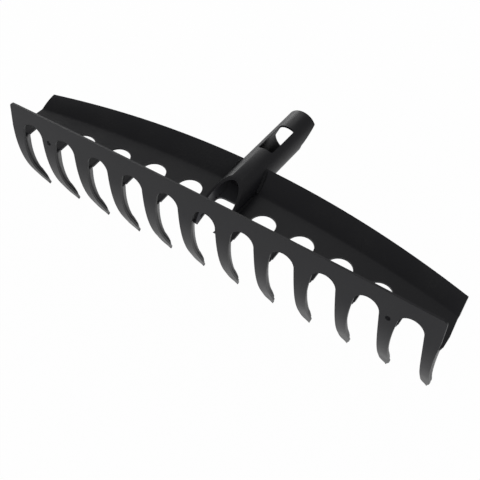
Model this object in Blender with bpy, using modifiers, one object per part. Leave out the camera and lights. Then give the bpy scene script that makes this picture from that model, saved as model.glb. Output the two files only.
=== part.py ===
"""Head of a garden rake: two pressed sheet combs, nested tine in tine, and a socket tube welded astride them.

The head is drawn with X along its width, Y back along the tube and Z up. The drawing's zero lies on the
front comb's front face, in its middle and level with the ends of its top edge. An empty then lifts the head
so that it stands on its tips.
"""
import math

import bmesh
import bpy
from mathutils import Matrix

MM = 0.001

# Both combs
TINE_COUNT = 12
PITCH = 31.5 * MM
SHEET = 1.8 * MM
CLEARANCE = 0.3 * MM
COMB_HEIGHT = 94 * MM

# Front comb: a flat band, then tines that bend back on an arc and run straight to their tips
BAND_FLAT = 23.6 * MM
BAND_CROWN = 2.3 * MM
TINE_BEND_RADIUS = 94 * MM
TINE_BEND_ANGLE = math.radians(30.3)
GAP_RADIUS = 9.4 * MM
GAP_CENTRE_DROP = 20.8 * MM
WAIST_HALF_WIDTH = 3.95 * MM
WAIST_DROP = 84 * MM
ROOT_CURVE = 3.5
TIP_HALF_WIDTH = 0.4 * MM
TIP_SHOULDER = 2.1
TIP_CURVE = 3.0
END_TINE_SHARE = 0.75
TOP_CORNER_RADIUS = 3.0 * MM
HOLE_RADIUS = 2.0 * MM
HOLE_DROP = 19.8 * MM
HOLE_TINES = (1, 10)

# Rear comb's tines: channels that lie behind the front ones, grow shallow and end above the tips
WEB_BEND_DROP = 30.4 * MM
WEB_BEND_RADIUS = 3.6 * MM
FOLD_RADIUS = 2.3 * MM
FOLD_SHARE = 0.8
FOLD_LEAST = math.radians(1)
EAR_TOP_RELIEF = 0.9 * MM
EAR_RUN = 6.0 * MM
CHANNEL_DEPTH = 5.0 * MM
CHANNEL_EAR = 0.4 * MM
REAR_TIP_SETBACK = 14 * MM
REAR_TIP_DRAW = 0.5

# Rear comb's web and its gaps
WEB_RISE = math.radians(8.3)
WEB_LENGTH_MIDDLE = 41.9 * MM
WEB_LENGTH_END = 23.1 * MM
WEB_END_DRAW = 1.9 * MM
REAR_GAP_RADIUS = 9.6 * MM
REAR_GAP_REACH_MIDDLE = 21.4 * MM
REAR_GAP_REACH_END = 4.6 * MM
STEM_GAP_CORNERS = 4.5
STEM_GAP_REACH = 18.4 * MM
STEM_GAP_DEPTH = 8.8 * MM
END_OVERHANG = 5.8 * MM

# Rear comb's flange: a crease, then a lip that flares back
CREASE_RADIUS = 3.8 * MM
FLANGE_LEAN_MIDDLE = math.radians(38)
FLANGE_LEAN_END = math.radians(25)
FLANGE_FLARE = math.radians(22)
FLANGE_WIDTH_MIDDLE = 17.9 * MM
FLANGE_WIDTH_END = 13.4 * MM
FLANGE_END_DRAW = 0.7 * MM

# Socket tube
STEM_RADIUS = 12.0 * MM
STEM_END_RADIUS = 11.7 * MM
STEM_WALL = 1.7 * MM
STEM_END_REACH = 129.2 * MM
STEM_AXIS_DROP = 18.9 * MM
STEM_RISE = math.radians(3.4)
BOW_TOP_REACH = 40.0 * MM
BOW_RISE = math.radians(29.3)
RELIEF_REACH = 108.7 * MM
RELIEF_BELOW_AXIS = 1.5 * MM
RELIEF_END_RISE = 5.2 * MM
WINDOW_START = 76.0 * MM
WINDOW_END = 107.1 * MM
WINDOW_WIDTH = 12.0 * MM
WINDOW_CORNER = 1.8 * MM

# Welds
BEAD_RADIUS = 2.3 * MM
WEB_BEAD_START = 9 * MM
WEB_BEAD_END = 42 * MM
FLANGE_BEAD_TOP_MARGIN = 3.0 * MM

# Fineness of the mesh
GAP_STEPS = 10
TINE_STEPS = 13
FOLD_STEPS = 2
BEND_STEPS = 4
CREASE_STEPS = 2
FLANGE_STEPS = 2
STEM_STEPS = 48
HOLE_STEPS = 20
CORNER_STEPS = 4
BEAD_STEPS = 9
BEAD_FINENESS = 3
MERGE = 0.01 * MM
SHARP_ANGLE = math.radians(35)

COAT_COLOUR = (0.022, 0.022, 0.024, 1)
COAT_ROUGHNESS = 0.38


def tine_x(tine):
    return (tine - (TINE_COUNT - 1) / 2) * PITCH


def is_end_side(tine, side):
    return (tine == 0 and side < 0) or (tine == TINE_COUNT - 1 and side > 0)


def front_profile(drop):
    """Front comb's front face: (y, z, lean back) at a length measured down the sheet from its top edge."""
    bend_length = TINE_BEND_RADIUS * TINE_BEND_ANGLE
    lean = min(max(drop - BAND_FLAT, 0) / TINE_BEND_RADIUS, TINE_BEND_ANGLE)
    straight = max(drop - BAND_FLAT - bend_length, 0)
    y = TINE_BEND_RADIUS * (1 - math.cos(lean)) + straight * math.sin(lean)
    z = -min(drop, BAND_FLAT) - TINE_BEND_RADIUS * math.sin(lean) - straight * math.cos(lean)
    return y, z, lean


def tip_drop():
    """Length down the sheet to the tips, which lie COMB_HEIGHT below the top edge."""
    bend_height = TINE_BEND_RADIUS * math.sin(TINE_BEND_ANGLE)
    straight = (COMB_HEIGHT - BAND_FLAT - bend_height) / math.cos(TINE_BEND_ANGLE)
    return BAND_FLAT + TINE_BEND_RADIUS * TINE_BEND_ANGLE + straight


def tine_half_width(drop, tine, side):
    """From a broad root, the tine draws in to its waist and then tapers to a small blunt tip."""
    root = PITCH / 2 - GAP_RADIUS
    if drop < WAIST_DROP:
        share = (WAIST_DROP - drop) / (WAIST_DROP - GAP_CENTRE_DROP)
        width = WAIST_HALF_WIDTH + (root - WAIST_HALF_WIDTH) * share ** ROOT_CURVE
    else:
        share = min((drop - WAIST_DROP) / (tip_drop() - WAIST_DROP), 1)
        width = TIP_HALF_WIDTH + (WAIST_HALF_WIDTH - TIP_HALF_WIDTH) * (1 - share ** TIP_SHOULDER) ** TIP_CURVE
    return width * END_TINE_SHARE if is_end_side(tine, side) else width


def tine_drops(start, end):
    """Levels along a tine, closer together towards its tip."""
    return [start + (end - start) * math.sin(math.pi / 2 * step / TINE_STEPS) for step in range(TINE_STEPS + 1)]


def skin(mesh, upper, lower):
    """Quads between two rows of points, facing the front or the top."""
    for left in range(len(upper) - 1):
        mesh.faces.new((upper[left], lower[left], lower[left + 1], upper[left + 1]))


def sheet_object(name, mesh, thickness=SHEET, offset=-1.0):
    """A pressed sheet: the drawn face, with its thickness behind it."""
    data = bpy.data.meshes.new(name)
    mesh.to_mesh(data)
    mesh.free()
    sheet = bpy.data.objects.new(name, data)
    solidify = sheet.modifiers.new("Sheet", "SOLIDIFY")
    solidify.thickness = thickness
    solidify.offset = offset
    solidify.use_even_offset = True
    return sheet


def front_comb_face():
    mesh = bmesh.new()
    top, low, feet = [], [], []
    for tine in range(TINE_COUNT):
        foot = []
        for side in (-1, 1):
            x = tine_x(tine) + side * tine_half_width(GAP_CENTRE_DROP, tine, side)
            foot.append(mesh.verts.new((x, 0, -GAP_CENTRE_DROP)))
            top.append(mesh.verts.new((x, 0, bow(x, BAND_CROWN, 0))))
        low.extend(foot)
        feet.append(foot)
        if tine == TINE_COUNT - 1:
            break
        for step in range(1, GAP_STEPS):
            angle = math.pi * step / GAP_STEPS
            x = tine_x(tine) + PITCH / 2 - GAP_RADIUS * math.cos(angle)
            low.append(mesh.verts.new((x, 0, GAP_RADIUS * math.sin(angle) - GAP_CENTRE_DROP)))
            top.append(mesh.verts.new((x, 0, bow(x, BAND_CROWN, 0))))
    skin(mesh, top, low)
    for tine, foot in enumerate(feet):
        upper = foot
        for drop in tine_drops(WEB_BEND_DROP, tip_drop()):
            y, z, lean = front_profile(drop)
            lower = [
                mesh.verts.new((tine_x(tine) + side * tine_half_width(drop, tine, side), y, z)) for side in (-1, 1)
            ]
            skin(mesh, upper, lower)
            upper = lower
    return mesh


def through_front(cutter, x=0, z=0):
    """Stands a cutter's own Z across the front comb's sheet, its middle in the sheet."""
    cutter.rotation_euler = (math.pi / 2, 0, 0)
    cutter.location = (x, PITCH / 2, z)
    return cutter


def corner_cutter(side):
    """What a rounded top corner of the band leaves free."""
    end = tine_x(TINE_COUNT - 1) + tine_half_width(GAP_CENTRE_DROP, TINE_COUNT - 1, 1)
    top = bow(end - TOP_CORNER_RADIUS, BAND_CROWN, 0)
    outline = [(side * (end + PITCH), top + PITCH), (side * (end - TOP_CORNER_RADIUS), top + PITCH)]
    for step in range(CORNER_STEPS + 1):
        angle = math.pi / 2 * step / CORNER_STEPS
        across = end - TOP_CORNER_RADIUS * (1 - math.sin(angle))
        outline.append((side * across, top - TOP_CORNER_RADIUS * (1 - math.cos(angle))))
    outline.append((side * (end + PITCH), top - TOP_CORNER_RADIUS))
    return extruded("corner_cutter", outline, PITCH)


def front_comb():
    comb = sheet_object("front_comb", front_comb_face())
    for tine in HOLE_TINES:
        hole = cylinder_cutter("hole_cutter", HOLE_RADIUS, HOLE_RADIUS, PITCH, HOLE_STEPS)
        cut(comb, through_front(hole, tine_x(tine), -HOLE_DROP))
    for side in (-1, 1):
        cut(comb, through_front(corner_cutter(side)))
    return comb


def bow(across, middle, end):
    """A value that falls from the middle of the comb to its ends as a parabola does."""
    half = TINE_COUNT / 2 * PITCH
    return middle + (end - middle) * (across / half) ** 2


def web_bend_point(turn):
    """Rear comb's bend from tine to web: (y, z, outward y, outward z) at a share of the turn, 0 at the web."""
    y, z, lean = front_profile(WEB_BEND_DROP)
    y += (SHEET + CLEARANCE) * math.cos(lean)
    z += (SHEET + CLEARANCE) * math.sin(lean)
    centre_y = y + WEB_BEND_RADIUS * math.cos(lean)
    centre_z = z + WEB_BEND_RADIUS * math.sin(lean)
    facing = (math.pi / 2 + WEB_RISE) * (1 - turn) + (math.pi + lean) * turn
    out_y, out_z = math.cos(facing), math.sin(facing)
    return centre_y + WEB_BEND_RADIUS * out_y, centre_z + WEB_BEND_RADIUS * out_z, out_y, out_z


def web_point(reach):
    """A point of the web's top face, by its distance back from the bend."""
    y, z, _, _ = web_bend_point(0)
    return y + reach * math.cos(WEB_RISE), z + reach * math.sin(WEB_RISE)


def web_height(y):
    """Height of the web's top face at a distance back from the front face."""
    start_y, start_z = web_point(0)
    return start_z + (y - start_y) * math.tan(WEB_RISE)


def along_arc(y, z, start, end, length, share):
    """Moves along an arc in the YZ plane whose slope goes from start to end over its length."""
    turn = end - start
    radius = length / turn
    angle = start + turn * share
    return (
        y + radius * (math.sin(angle) - math.sin(start)),
        z - radius * (math.cos(angle) - math.cos(start)),
    )


def flange_rows(x):
    """Rear comb from its crease up to the flange's top edge: (x, y, z) rows of one column, bottom row first."""
    lean = bow(x, FLANGE_LEAN_MIDDLE, FLANGE_LEAN_END)
    foot_slope = lean + FLANGE_FLARE / 2
    top_slope = lean - FLANGE_FLARE / 2
    crease_length = CREASE_RADIUS * (foot_slope - WEB_RISE)
    width = bow(x, FLANGE_WIDTH_MIDDLE, FLANGE_WIDTH_END)
    start_y, start_z = web_point(bow(x, WEB_LENGTH_MIDDLE, WEB_LENGTH_END))
    half = TINE_COUNT / 2 * PITCH
    drawn_x = x * (1 - WEB_END_DRAW / half)
    rows = [(drawn_x, start_y, start_z)]
    for step in range(1, CREASE_STEPS + 1):
        share = step / CREASE_STEPS
        rows.append((drawn_x, *along_arc(start_y, start_z, WEB_RISE, foot_slope, crease_length, share)))
    foot_y, foot_z = rows[-1][1:]
    for step in range(1, FLANGE_STEPS + 1):
        share = step / FLANGE_STEPS
        drawn_x = x * (1 - (WEB_END_DRAW + FLANGE_END_DRAW * share) / half)
        rows.append((drawn_x, *along_arc(foot_y, foot_z, foot_slope, top_slope, width, share)))
    return rows


def fold(base, arc, angle, ear):
    """Half a channel's section, outwards from the edge of its base: (across, depth) of each point."""
    points = []
    for step in range(FOLD_STEPS + 1):
        share = step / FOLD_STEPS
        if angle == 0:
            points.append((base + arc * share, 0))
        else:
            radius = arc / angle
            turned = angle * share
            points.append((base + radius * math.sin(turned), radius * (1 - math.cos(turned))))
    if ear > 0:
        across, depth = points[-1]
        points.append((across + ear * math.cos(angle), depth + ear * math.sin(angle)))
    return points


def channel_fold(drop, tine, side):
    """Sizes of a rear tine's fold at one level: its base, its arc, the angle it turns and its straight ear."""
    end = tip_drop() - REAR_TIP_SETBACK
    left = max(end - drop, 0) / (end - WEB_BEND_DROP)
    width = tine_half_width(drop, tine, side) * (1 - REAR_TIP_DRAW * (1 - left) ** 3)
    depth = CHANNEL_DEPTH * left
    by_depth = math.acos(1 - min(depth / FOLD_RADIUS, 1))
    by_width = math.asin(min(FOLD_SHARE * width / FOLD_RADIUS, 1))
    angle = max(min(by_depth, by_width), FOLD_LEAST)
    folded = FOLD_RADIUS * (1 - math.cos(angle))
    base = width - FOLD_RADIUS * math.sin(angle)
    opened = min((drop - WEB_BEND_DROP) / EAR_RUN, 1)
    return base, FOLD_RADIUS * angle, angle, max((depth - folded) * opened, CHANNEL_EAR)


def finger_fold(tine, side):
    """The same sizes on the flat web finger above a rear tine."""
    root = END_OVERHANG if is_end_side(tine, side) else PITCH / 2 - REAR_GAP_RADIUS
    arc = FOLD_RADIUS * math.pi / 2
    return root - arc, arc, 0, 0


def blend(start, end, share):
    return tuple(a + (b - a) * share for a, b in zip(start, end))


def section(tine, y, z, out_y, out_z, folds):
    """One row across a rear tine, from its left edge to its right."""
    row = []
    for side in (-1, 1):
        points = [
            (tine_x(tine) + side * across, y - depth * out_y, z - depth * out_z)
            for across, depth in fold(*folds[side])
        ]
        row.extend(points[::side])
    return row


def rear_tine(mesh, tine, foot):
    """Hangs a rear tine on the row of points that ends the web above it."""
    upper = foot
    bottom = {side: channel_fold(WEB_BEND_DROP, tine, side) for side in (-1, 1)}
    for step in range(BEND_STEPS + 1):
        turn = step / BEND_STEPS
        folds = {side: blend(finger_fold(tine, side), (*bottom[side][:3], 0), turn) for side in (-1, 1)}
        lower = [mesh.verts.new(point) for point in section(tine, *web_bend_point(turn), folds)]
        skin(mesh, upper, lower)
        upper = lower
    drops = tine_drops(WEB_BEND_DROP, tip_drop() - REAR_TIP_SETBACK)
    drops[0] += EAR_TOP_RELIEF
    for level, drop in enumerate(drops):
        y, z, lean = front_profile(drop)
        out_y, out_z = -math.cos(lean), -math.sin(lean)
        y -= (SHEET + CLEARANCE) * out_y
        z -= (SHEET + CLEARANCE) * out_z
        folds = {side: channel_fold(drop, tine, side) for side in (-1, 1)}
        lower = [mesh.verts.new(point) for point in section(tine, y, z, out_y, out_z, folds)]
        skin(mesh, upper, lower if level else lower[1:-1])
        upper = lower


def gap_edge(tine, angle):
    """Edge of the web's gap to the right of a tine: (x, reach back from the bend)."""
    middle = tine_x(tine) + PITCH / 2
    if tine + 1 == TINE_COUNT / 2:
        power = 2 / STEM_GAP_CORNERS
        side = -math.copysign(abs(math.cos(angle)) ** power, math.cos(angle))
        return middle + REAR_GAP_RADIUS * side, STEM_GAP_REACH + STEM_GAP_DEPTH * math.sin(angle) ** power
    reach = bow(middle, REAR_GAP_REACH_MIDDLE, REAR_GAP_REACH_END)
    return middle - REAR_GAP_RADIUS * math.cos(angle), reach + REAR_GAP_RADIUS * math.sin(angle)


def finger_reach(tine, side):
    """How far back the finger above a tine goes on one side, which is where the gap beside it rounds."""
    neighbour = tine - 1 if side < 0 else tine
    neighbour = min(max(neighbour, 0), TINE_COUNT - 2)
    return gap_edge(neighbour, 0)[1]


def rear_comb_face(with_tines=True):
    mesh = bmesh.new()
    web_edge, feet = [], []
    for tine in range(TINE_COUNT):
        foot = []
        folds = {side: finger_fold(tine, side) for side in (-1, 1)}
        left, right = finger_reach(tine, -1), finger_reach(tine, 1)
        flat = section(tine, 0, 0, 0, 1, folds)
        for x, _, _ in flat:
            share = (x - flat[0][0]) / (flat[-1][0] - flat[0][0])
            foot.append(mesh.verts.new((x, *web_point(left + (right - left) * share))))
        web_edge.extend(foot)
        feet.append(foot)
        if tine < TINE_COUNT - 1:
            for step in range(1, GAP_STEPS):
                x, reach = gap_edge(tine, math.pi * step / GAP_STEPS)
                web_edge.append(mesh.verts.new((x, *web_point(reach))))
    rows = zip(*(flange_rows(corner.co.x) for corner in web_edge))
    lower = web_edge
    for row in rows:
        upper = [mesh.verts.new(point) for point in row]
        skin(mesh, upper, lower)
        lower = upper
    if with_tines:
        for tine, foot in enumerate(feet):
            rear_tine(mesh, tine, foot)
    return mesh


def web_end():
    """(y, z) of the web's top face in the middle of the comb, where the crease starts."""
    return web_point(WEB_LENGTH_MIDDLE)


def swept(name, points, way):
    """A solid from a flat outline, swept straight along a vector."""
    mesh = bmesh.new()
    face = mesh.faces.new([mesh.verts.new(point) for point in points])
    grown = bmesh.ops.extrude_face_region(mesh, geom=[face])["geom"]
    moved = [item for item in grown if isinstance(item, bmesh.types.BMVert)]
    bmesh.ops.translate(mesh, verts=moved, vec=way)
    bmesh.ops.recalc_face_normals(mesh, faces=mesh.faces)
    return cutter_object(name, mesh)


def prism(name, outline, half_width):
    """A solid between two planes x = constant, from its outline in (y, z)."""
    return swept(name, [(-half_width, y, z) for y, z in outline], (2 * half_width, 0, 0))


def extruded(name, outline, height):
    """A solid that stands on the plane z = 0, from its outline in (x, y)."""
    return swept(name, [(x, y, 0) for x, y in outline], (0, 0, height))


def cylinder_cutter(name, start_radius, end_radius, length, steps=STEM_STEPS):
    """A round cutter that starts at its object's origin and runs along its own Z."""
    mesh = bmesh.new()
    bmesh.ops.create_cone(
        mesh,
        cap_ends=True,
        segments=steps,
        radius1=start_radius,
        radius2=end_radius,
        depth=length,
        matrix=Matrix.Translation((0, 0, length / 2)),
    )
    return cutter_object(name, mesh)


def cutter_object(name, mesh):
    data = bpy.data.meshes.new(name)
    mesh.to_mesh(data)
    mesh.free()
    cutter = bpy.data.objects.new(name, data)
    cutter.hide_render = True
    cutter.display_type = "WIRE"
    cutters.objects.link(cutter)
    return cutter


def cut(target, cutter, operation="DIFFERENCE"):
    boolean = target.modifiers.new(cutter.name, "BOOLEAN")
    boolean.operation = operation
    boolean.solver = "EXACT"
    boolean.object = cutter


def stem_axis_height(y):
    """Height of the tube's axis at a distance back from the front face."""
    return y * math.tan(STEM_RISE) - STEM_AXIS_DROP


def on_stem_axis(thing, y=0):
    """Lays an object's own Z along the tube's axis, starting at a distance back from the front face."""
    thing.rotation_euler = (STEM_RISE - math.pi / 2, 0, 0)
    thing.location = (0, y, stem_axis_height(y))
    return thing


def stem_length():
    return STEM_END_REACH / math.cos(STEM_RISE)


def stem_envelope():
    """The tube's outside, with the clearance that its neighbours keep."""
    return on_stem_axis(
        cylinder_cutter("stem_envelope", STEM_RADIUS + CLEARANCE, STEM_END_RADIUS + CLEARANCE, stem_length())
    )


def below_web(name, margin):
    """All that lies under the web's top face, from the front comb back to the web's end, grown by a margin."""
    end_y, _ = web_end()
    back = end_y + margin
    deep = -COMB_HEIGHT
    outline = [(-PITCH, web_height(-PITCH) + margin), (back, web_height(back) + margin), (back, deep), (-PITCH, deep)]
    return prism(name, outline, PITCH)


def rear_comb():
    comb = sheet_object("rear_comb", rear_comb_face())
    notch = stem_envelope()
    notch.name = "notch_cutter"
    cut(notch, below_web("web_keeper", 0))
    cut(comb, notch)
    return comb


def stem_tube():
    profile = bmesh.new()
    length = stem_length()
    corners = [
        (STEM_END_RADIUS, length),
        (STEM_RADIUS, 0),
        (STEM_RADIUS - STEM_WALL, 0),
        (STEM_END_RADIUS - STEM_WALL, length),
    ]
    points = [profile.verts.new((radius, 0, z)) for radius, z in corners]
    for point, following in zip(points, points[1:] + points[:1]):
        profile.edges.new((point, following))
    data = bpy.data.meshes.new("stem_tube")
    profile.to_mesh(data)
    profile.free()
    tube = on_stem_axis(bpy.data.objects.new("stem_tube", data))
    turned = tube.modifiers.new("Turned", "SCREW")
    turned.steps = turned.render_steps = STEM_STEPS
    turned.use_merge_vertices = True
    turned.merge_threshold = MERGE
    cut(tube, bow_cutter())
    cut(tube, below_web("web_seat_cutter", CLEARANCE))
    cut(tube, front_seat_cutter())
    cut(tube, relief_cutter())
    cut(tube, window_cutter())
    return tube


def bow_cutter():
    """Takes off the tube's front along a slope that rises towards the back."""
    top = stem_axis_height(BOW_TOP_REACH) + STEM_RADIUS
    run = 2 * PITCH
    back = BOW_TOP_REACH + run
    front = -run
    outline = [
        (front, top + (front - BOW_TOP_REACH) * math.tan(BOW_RISE)),
        (back, top + run * math.tan(BOW_RISE)),
        (front, top + run * math.tan(BOW_RISE)),
    ]
    return prism("bow_cutter", outline, PITCH)


def front_seat_cutter():
    """Ends the tube's legs against the front comb's back."""
    back = SHEET + CLEARANCE
    outline = [(-PITCH, 0), (back, 0), (back, -COMB_HEIGHT), (-PITCH, -COMB_HEIGHT)]
    return prism("front_seat_cutter", outline, PITCH)


def relief_cutter():
    """Opens the tube's underside towards its free end: a square shoulder, then a slope up to the end."""
    shoulder = stem_axis_height(RELIEF_REACH) - RELIEF_BELOW_AXIS
    end = stem_axis_height(STEM_END_REACH) + RELIEF_END_RISE
    slope = (end - shoulder) / (STEM_END_REACH - RELIEF_REACH)
    back = STEM_END_REACH + STEM_RADIUS
    deep = shoulder - PITCH
    outline = [
        (RELIEF_REACH, shoulder),
        (back, shoulder + slope * (back - RELIEF_REACH)),
        (back, deep),
        (RELIEF_REACH, deep),
    ]
    return prism("relief_cutter", outline, PITCH)


def window_cutter():
    """The latch window in the tube's top, with rounded corners."""
    half_x = WINDOW_WIDTH / 2 - WINDOW_CORNER
    half_y = (WINDOW_END - WINDOW_START) / 2 - WINDOW_CORNER
    outline = []
    for quarter, (side_x, side_y) in enumerate(((1, 1), (-1, 1), (-1, -1), (1, -1))):
        for step in range(CORNER_STEPS + 1):
            angle = math.pi / 2 * (quarter + step / CORNER_STEPS)
            x = side_x * half_x + WINDOW_CORNER * math.cos(angle)
            outline.append((x, side_y * half_y + WINDOW_CORNER * math.sin(angle)))
    window = extruded("window_cutter", outline, 2 * STEM_RADIUS)
    middle = (WINDOW_START + WINDOW_END) / 2
    window.location = (0, middle, stem_axis_height(middle))
    window.rotation_euler = (STEM_RISE, 0, 0)
    return window


def stem_half_chord(y, z):
    """Half the tube's outer width at a point of the YZ plane."""
    radius = STEM_RADIUS + (STEM_END_RADIUS - STEM_RADIUS) * y / STEM_END_REACH
    off_axis = (z - stem_axis_height(y)) * math.cos(STEM_RISE)
    return math.sqrt(radius ** 2 - off_axis ** 2)


def bead(name, path, side, envelopes):
    """A weld bead along a corner between the tube and the rear comb."""
    curve = bpy.data.curves.new(name, "CURVE")
    curve.dimensions = "3D"
    curve.bevel_depth = BEAD_RADIUS
    curve.bevel_resolution = BEAD_FINENESS
    curve.use_fill_caps = True
    spline = curve.splines.new("POLY")
    spline.points.add(len(path) - 1)
    for point, (y, z) in zip(spline.points, path):
        point.co = (side * stem_half_chord(y, z), y, z, 1)
    drawn = bpy.data.objects.new(name, curve)
    cutters.objects.link(drawn)
    evaluated = drawn.evaluated_get(bpy.context.evaluated_depsgraph_get())
    data = bpy.data.meshes.new_from_object(evaluated)
    data.name = name
    bpy.data.objects.remove(drawn)
    bpy.data.curves.remove(curve)
    welded = bmesh.new()
    welded.from_mesh(data)
    bmesh.ops.remove_doubles(welded, verts=welded.verts, dist=MERGE)
    welded.to_mesh(data)
    welded.free()
    weld = bpy.data.objects.new(name, data)
    for envelope in envelopes:
        cut(weld, envelope)
    return weld


def web_bead_path():
    path = []
    for step in range(BEAD_STEPS + 1):
        y = WEB_BEAD_START + (WEB_BEAD_END - WEB_BEAD_START) * step / BEAD_STEPS
        path.append((y, web_height(y)))
    return path


def flange_bead_path():
    _, foot_y, foot_z = flange_rows(0)[CREASE_STEPS]
    slope = FLANGE_LEAN_MIDDLE + FLANGE_FLARE / 2
    length = FLANGE_WIDTH_MIDDLE
    path = []
    for step in range(BEAD_STEPS + 1):
        share = step / BEAD_STEPS * (1 - FLANGE_BEAD_TOP_MARGIN / length)
        path.append(along_arc(foot_y, foot_z, slope, slope - FLANGE_FLARE, length, share))
    return path


def flange_envelope():
    """The web and flange without their notch, grown by the clearance in front and by a bead's radius behind."""
    thick = SHEET + CLEARANCE + BEAD_RADIUS
    envelope = sheet_object("flange_envelope", rear_comb_face(with_tines=False), thick, 2 * CLEARANCE / thick - 1)
    envelope.hide_render = True
    envelope.display_type = "WIRE"
    cutters.objects.link(envelope)
    return envelope


def welds():
    envelopes = (stem_envelope(), below_web("web_envelope", CLEARANCE), flange_envelope())
    beads = []
    for side, word in ((-1, "left"), (1, "right")):
        beads.append(bead(f"web_weld_{word}", web_bead_path(), side, envelopes))
        beads.append(bead(f"flange_weld_{word}", flange_bead_path(), side, envelopes))
    return beads


def coat(thing):
    """Black satin coat; each piece has its own."""
    material = bpy.data.materials.new(f"{thing.name}_coat")
    material.use_nodes = True
    shader = material.node_tree.nodes["Principled BSDF"]
    shader.inputs["Base Color"].default_value = COAT_COLOUR
    shader.inputs["Roughness"].default_value = COAT_ROUGHNESS
    shader.inputs["Metallic"].default_value = 0.0
    thing.data.materials.append(material)
    thing.data.shade_smooth()
    thing.data.set_sharp_from_angle(angle=SHARP_ANGLE)


def overall_depth():
    """From the front face to the end of the tube, measured at the foot of its end."""
    return STEM_END_REACH - RELIEF_END_RISE * math.tan(STEM_RISE)


for leftover in list(bpy.data.objects):
    bpy.data.objects.remove(leftover, do_unlink=True)
head_collection = bpy.data.collections.new("garden_rake_head")
cutters = bpy.data.collections.new("cutters")
bpy.context.scene.collection.children.link(head_collection)
bpy.context.scene.collection.children.link(cutters)

drawing_zero = bpy.data.objects.new("drawing_zero", None)
drawing_zero.location = (0, -overall_depth() / 2, COMB_HEIGHT)
head_collection.objects.link(drawing_zero)

for piece in (front_comb(), rear_comb(), stem_tube(), *welds()):
    coat(piece)
    piece.parent = drawing_zero
    head_collection.objects.link(piece)
for cutter in cutters.objects:
    cutter.parent = drawing_zero
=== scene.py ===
"""Dresses the garden rake head: two nested combs, a socket tube and its welds, in a black satin coat.

The pieces are drawn round a zero on the front comb's front face, in its middle, where its top edge would be
without its crown: X along the comb, Y back along the tube, Z up. The finished meshes are moved from there to
the model's place.
"""
import math

import bmesh
import bpy
from bpy.props import FloatProperty, FloatVectorProperty, IntProperty, PointerProperty
from mathutils import Matrix, Vector


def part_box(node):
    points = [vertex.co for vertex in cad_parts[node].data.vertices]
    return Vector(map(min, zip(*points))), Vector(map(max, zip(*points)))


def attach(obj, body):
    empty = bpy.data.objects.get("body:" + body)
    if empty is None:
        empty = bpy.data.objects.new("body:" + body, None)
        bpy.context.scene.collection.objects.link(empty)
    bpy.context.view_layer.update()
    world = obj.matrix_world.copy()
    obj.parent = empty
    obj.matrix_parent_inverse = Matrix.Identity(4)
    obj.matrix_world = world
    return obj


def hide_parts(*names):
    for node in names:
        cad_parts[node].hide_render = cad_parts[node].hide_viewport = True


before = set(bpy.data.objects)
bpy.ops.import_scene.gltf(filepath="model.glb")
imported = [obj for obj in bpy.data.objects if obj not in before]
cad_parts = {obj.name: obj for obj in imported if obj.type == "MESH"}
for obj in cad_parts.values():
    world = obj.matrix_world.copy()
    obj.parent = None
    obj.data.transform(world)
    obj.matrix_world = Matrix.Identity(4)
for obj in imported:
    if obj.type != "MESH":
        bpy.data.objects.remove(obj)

bl_info = {
    "name": "Garden Rake Head",
    "version": (1, 0, 0),
    "blender": (4, 5, 0),
    "location": "View3D > Sidebar > Rake",
    "description": "Builds a garden rake head with nested combs, a socket tube and a satin coat",
    "category": "Add Mesh",
}

MM = 0.001
BODY = "root"
SIDES = (-1, 1)


def length(name, description, default):
    """A length property, given in millimetres."""
    return FloatProperty(name=name, description=description, default=default * MM, unit="LENGTH", precision=5)


def turn(name, description, default):
    """An angle property, given in degrees."""
    return FloatProperty(name=name, description=description, default=math.radians(default), subtype="ANGLE")


def share(name, description, default):
    """A plain number property."""
    return FloatProperty(name=name, description=description, default=default, min=0)


def colour(name, description, default):
    """A colour property."""
    return FloatVectorProperty(
        name=name, description=description, default=default, subtype="COLOR", min=0, max=1
    )


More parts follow.
